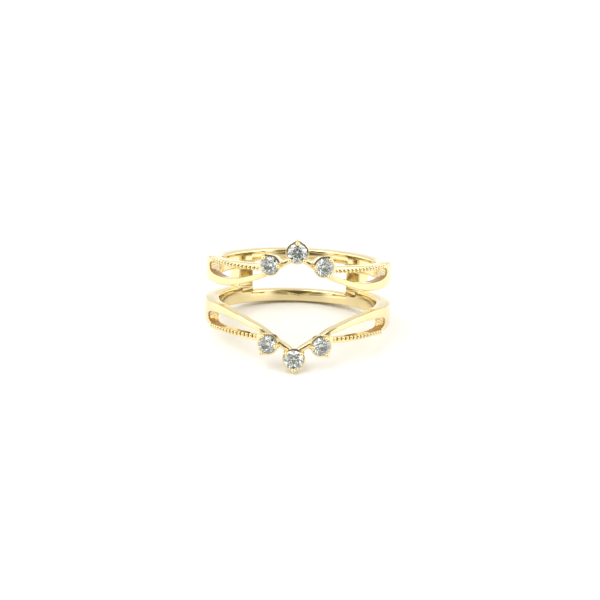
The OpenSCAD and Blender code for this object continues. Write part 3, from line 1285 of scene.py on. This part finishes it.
@dataclass(frozen=True)
class Claws:
    """The claws that hold the stones and the pointed feet of the outer ones.

    A claw's shares are of its stone's radius. Each shape is built round a stone's own axis,
    which is Z, on the X side.
    """

    ring: RingSizes = RING
    sides: int = 20
    end_r: float = 0.012
    root_reach: float = 0.75
    root_depth: float = 0.85
    root_swell: float = 0.25
    knee_depth: float = 0.06
    bend_from: float = 0.85
    bend_to: float = 0.45
    tip_reach: float = 0.04
    tip_rise: float = 0.03
    point_root_r: float = 0.3

    def tube(self, stations: Sequence[Station]) -> Draft:
        """Return a round wire along stations in the XZ plane.

        Args:
            stations: Its places and radii in order.

        Returns:
            The closed body.
        """
        across = Vector((0, 1, 0))
        rings = []
        for i, station in enumerate(stations):
            ahead, behind = stations[min(i + 1, len(stations) - 1)], stations[max(i - 1, 0)]
            up = (ahead.at - behind.at).normalized().cross(across)
            rings.append([
                station.at + station.radius * (cos(t) * across + sin(t) * up)
                for t in spread(0, 360, self.sides)[:-1]
            ])
        return Draft().add_rings(rings)

    def round_end(
        self, at: Vector, run: Vector, radius: float, start: float, end: float, count: int
    ) -> list[Station]:
        """Return the stations of a round end.

        Args:
            at: The middle of its ball.
            run: The wire's direction there.
            radius: The ball's radius.
            start: Where it starts, in degrees from the wire's direction.
            end: Where it ends.
            count: How many parts it has.

        Returns:
            The stations in order.
        """
        return [
            Station(at + run * radius * cos(t), max(self.end_r, radius * sin(t)))
            for t in spread(start, end, count)
        ]

    def claw(self, stone_d: float) -> Draft:
        """Return a claw from its root under the stone to its bead on the crown.

        Args:
            stone_d: The stone's diameter.

        Returns:
            The closed body.
        """
        ring, r = self.ring, stone_d / 2
        wire_r, tip_r = ring.claw_d / 2, ring.claw_tip_d / 2
        root = Vector((self.root_reach * r, 0, ring.girdle_r - self.root_depth * r))
        knee = Vector((r + ring.stone_gap + wire_r, 0, ring.girdle_r - self.knee_depth * r))
        tip_z = ring.girdle_r + self.tip_rise * r + ring.stone_gap + tip_r
        tip = Vector((r + self.tip_reach, 0, tip_z))
        stations = [
            Station(root.lerp(knee, t), wire_r * (1 + self.root_swell - self.root_swell * t))
            for t in spread(0, self.bend_from, 6)
        ]
        low, high = root.lerp(knee, self.bend_from), knee.lerp(tip, self.bend_to)
        for t in spread(0.15, 1, 5):
            bend = low.lerp(knee, t).lerp(knee.lerp(high, t), t)
            stations.append(Station(bend, wire_r))
        start = 180 - math.degrees(math.asin(min(1.0, wire_r / tip_r)))
        stations += self.round_end(tip, (tip - high).normalized(), tip_r, start, 3, 9)
        return self.tube(stations)

    def point(self, stone_d: float, reach: float) -> Draft:
        """Return the pointed foot of an outer claw.

        Args:
            stone_d: The stone's diameter.
            reach: How far the point reaches from the stone's axis.

        Returns:
            The closed body.
        """
        ring = self.ring
        root_z = ring.girdle_r - POINT_ROOT_DEPTH * stone_d
        root = Vector((POINT_ROOT_REACH * stone_d, 0, root_z))
        end = Vector((reach, 0, ring.girdle_r - ring.point_drop))
        narrowing = ring.point_r - self.point_root_r
        stations = [
            Station(root.lerp(end, t), self.point_root_r + narrowing * t)
            for t in spread(0, 0.96, 8)
        ]
        stations += self.round_end(end, (end - root).normalized(), ring.point_r, 86, 4, 7)
        return self.tube(stations)

    def places(self, level: Level) -> tuple[list[Matrix], list[Matrix]]:
        """Return the places of one guard's claws.

        Args:
            level: Which of the two guards.

        Returns:
            The centre stone's places, and the side stones', each stone's outer claw first.
        """
        ring = self.ring
        at = outward(0, level.value * ring.centre_stone_rise)
        centre = [
            at @ Matrix.Rotation(math.radians(level.value * d), 4, "Z") for d in CENTRE_CLAWS
        ]
        side = []
        for hand in Hand:
            at = outward(hand.value * ring.side_stone_angle, level.value * ring.side_stone_rise)
            for d in SIDE_CLAWS:
                direction = level.value * (d if hand is Hand.RIGHT else 180 - d)
                side.append(at @ Matrix.Rotation(math.radians(direction), 4, "Z"))
        return centre, side

    def sets(self) -> list[ClawSet]:
        """Return the claws and points of the centre stones and of the side stones.

        Returns:
            One set for each shape.
        """
        ring = self.ring
        centre, side = [], []
        for level in Level:
            at_centre, at_side = self.places(level)
            centre += at_centre
            side += at_side
        return [
            ClawSet("centre_claws", self.claw(ring.centre_stone_d), centre),
            ClawSet("side_claws", self.claw(ring.side_stone_d), side),
            ClawSet(
                "centre_points", self.point(ring.centre_stone_d, ring.centre_point_reach),
                centre[:: len(CENTRE_CLAWS)],
            ),
            ClawSet(
                "side_points", self.point(ring.side_stone_d, ring.side_point_reach),
                side[:: len(SIDE_CLAWS)],
            ),
        ]

    def repeated(self, part: ClawSet, material: bpy.types.Material) -> bpy.types.Object:
        """Return one set, its shape put at each of its places by Geometry Nodes.

        Args:
            part: The set.
            material: The gold's finish.

        Returns:
            The upright piece in millimetres.
        """
        data = bpy.data.meshes.new(part.name)
        data.from_pydata([tuple(m.to_translation()) for m in part.places], [], [])
        turn = data.attributes.new("turn", "FLOAT_VECTOR", "POINT")
        for i, place in enumerate(part.places):
            turn.data[i].vector = tuple(place.to_euler())
        item = link(part.name, data)
        shape = part.shape.item("claw_shape")
        repeat = RepeatTree(part.name + "_tree")
        tree, given = repeat.start()
        values = {
            repeat.ask(tree, "Shape", "NodeSocketObject"): shape,
            repeat.ask(tree, "Scale", "NodeSocketFloat"): 1.0,
            repeat.ask(tree, "Finish", "NodeSocketMaterial"): material,
        }
        info = add_node(tree, "GeometryNodeObjectInfo", None, {"Object": given.outputs["Shape"]})
        named = add_node(
            tree, "GeometryNodeInputNamedAttribute", {"Name": "turn"}, data_type="FLOAT_VECTOR"
        )
        spots = add_node(
            tree, "GeometryNodeInstanceOnPoints", None,
            {"Points": given.outputs["Geometry"], "Instance": info.outputs["Geometry"],
             "Rotation": named.outputs["Attribute"], "Scale": given.outputs["Scale"]},
        )
        repeat.end(tree, spots.outputs["Instances"], given.outputs["Finish"])
        repeat.grow(item, tree, values)
        data = shape.data
        bpy.data.objects.remove(shape)
        bpy.data.meshes.remove(data)
        return item

    def build(self, material: bpy.types.Material) -> None:
        """Make and dress every set."""
        for part in self.sets():
            dress(self.repeated(part, material), 50)


@dataclass(frozen=True)
class Stones:
    """The six brilliants, which are the frame's own nodes in a better material."""

    ending: str = "_stone"

    def build(self, material: bpy.types.Material) -> None:
        """Give each stone its finish.

        Args:
            material: The finish.
        """
        for name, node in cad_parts.items():
            if name.endswith(self.ending):
                node.data.materials.clear()
                node.data.materials.append(material)
                LOG.info("%s: dressed", name)


class Way(Enum):
    """The ways in which the tent's brightness changes."""

    ACROSS = "across"
    DEPTH = "Y"
    HEIGHT = "Z"


@dataclass(frozen=True)
class Fade:
    """An edge of the dark room: the way it faces, and where it is clear and fully dark."""

    way: Way
    clear: float
    full: float


@dataclass(frozen=True)
class Softbox:
    """A square soft light that faces the ring, in metres and watts."""

    name: str
    place: tuple[float, float, float]
    side: float
    power: float

    def build(self) -> None:
        """Make the light."""
        data = bpy.data.lights.new(self.name, "AREA")
        data.shape = "RECTANGLE"
        data.size = data.size_y = self.side
        data.energy = self.power
        made = link(self.name, data)
        made.location = self.place
        made.rotation_euler = (-Vector(self.place)).to_track_quat("-Z", "Y").to_euler()


@dataclass(frozen=True)
class Studio:
    """The photo's set: a white sheet in a white tent, seen by a long lens.

    The lens was fitted in the upright ring's own millimetres and degrees, and the photo's
    pixels. The room behind it is dark between the room's fades.
    """

    floor_half: float = 1.5
    distance: float = 200.1
    elevation: float = 10.573
    yaw: float = -1.056
    roll: float = 2.003
    focal_px: float = 1817.165
    centre_px: tuple[float, float] = (298.0, 288.889)
    frame_px: float = 600.0
    sensor: float = 36.0
    tent_strength: float = 1.0
    panel_strength: float = 1.7
    panel_from: float = 0.55
    panel_full: float = 0.85
    room_strength: float = 0.12
    room: tuple[Fade, ...] = (
        Fade(Way.ACROSS, 0.7, 0.5),
        Fade(Way.DEPTH, -0.2, -0.5),
        Fade(Way.HEIGHT, -0.03, 0.08),
        Fade(Way.HEIGHT, 0.85, 0.7),
    )
    lights: tuple[Softbox, ...] = (
        Softbox("key", (-0.25, -0.2, 0.45), 0.4, 1.2),
        Softbox("fill", (0.35, -0.15, 0.35), 0.3, 0.5),
    )

    def floor(self) -> None:
        """Make the sheet that the ring lies on."""
        h = self.floor_half
        data = bpy.data.meshes.new("floor")
        data.from_pydata([(-h, -h, 0), (h, -h, 0), (h, h, 0), (-h, h, 0)], [], [(0, 1, 2, 3)])
        data.materials.append(SHEET.material())
        link("floor", data)

    def camera(self) -> None:
        """Make the camera where the photo was taken from, fitted in the ring's own frame."""
        ahead = Vector((
            sin(self.yaw) * cos(self.elevation),
            cos(self.yaw) * cos(self.elevation),
            -sin(self.elevation),
        ))
        right = ahead.cross(Vector((0, 0, 1))).normalized()
        up = right.cross(ahead)
        rolled = right * cos(self.roll) + up * sin(self.roll)
        above = up * cos(self.roll) - right * sin(self.roll)
        turn = LYING.to_3x3().normalized()
        axes = Matrix((turn @ rolled, turn @ above, turn @ -ahead)).transposed()
        data = bpy.data.cameras.new("camera")
        data.sensor_width = self.sensor
        data.lens = self.focal_px / self.frame_px * self.sensor
        data.shift_x = (self.frame_px / 2 - self.centre_px[0]) / self.frame_px
        data.shift_y = (self.centre_px[1] - self.frame_px / 2) / self.frame_px
        data.clip_start = 0.005
        data.clip_end = 10.0
        made = link("camera", data)
        made.matrix_world = Matrix.Translation(LYING @ (-ahead * self.distance)) @ axes.to_4x4()
        bpy.context.scene.camera = made

    def surroundings(self) -> None:
        """Make the white tent, with bright panels at the sides and the dark room in front."""
        world = bpy.data.worlds.new("white_tent")
        bpy.context.scene.world = world
        world.use_nodes = True
        tree = world.node_tree
        tree.nodes.clear()
        place = add_node(tree, "ShaderNodeTexCoord")
        parts = add_node(tree, "ShaderNodeSeparateXYZ", None, {"Vector": place.outputs["Generated"]})
        across = add_node(
            tree, "ShaderNodeMath", None, {0: parts.outputs["X"]}, operation="ABSOLUTE"
        ).outputs["Value"]
        dark = None
        for fade in self.room:
            value = across if fade.way is Way.ACROSS else parts.outputs[fade.way.value]
            edge = add_node(
                tree, "ShaderNodeMapRange",
                {"From Min": fade.clear, "From Max": fade.full, "To Min": 0.0, "To Max": 1.0},
                {"Value": value}, interpolation_type="SMOOTHSTEP",
            ).outputs["Result"]
            dark = edge if dark is None else add_node(
                tree, "ShaderNodeMath", None, {0: dark, 1: edge}, operation="MULTIPLY"
            ).outputs["Value"]
        panel = add_node(
            tree, "ShaderNodeMapRange",
            {"From Min": self.panel_from, "From Max": self.panel_full,
             "To Min": self.tent_strength, "To Max": self.panel_strength},
            {"Value": across}, interpolation_type="SMOOTHSTEP",
        )
        level = add_node(
            tree, "ShaderNodeMapRange", {"To Max": self.room_strength},
            {"Value": dark, "To Min": panel.outputs["Result"]},
        )
        back = add_node(
            tree, "ShaderNodeBackground", {"Color": (1.0, 1.0, 1.0, 1.0)},
            {"Strength": level.outputs["Result"]},
        )
        add_node(tree, "ShaderNodeOutputWorld", None, {"Surface": back.outputs["Background"]})

    def build(self) -> None:
        """Make the floor, the tent, the lights and the camera."""
        self.floor()
        self.surroundings()
        for light in self.lights:
            light.build()
        self.camera()
        bpy.context.scene.view_settings.view_transform = "Standard"


def main() -> None:
    """Build the ring's pieces and the set."""
    logging.basicConfig(level=logging.INFO, format="%(name)s: %(message)s")
    polished = POLISHED.material()
    # The second finish paints shade on the walls of the openings
    Guards().build(polished, PAINTED_SHADE_WALL.material())
    Claws().build(polished)
    Milgrain().build(polished)
    Stones().build(DIAMOND.material())
    Studio().build()


if __name__ == "__main__":
    main()
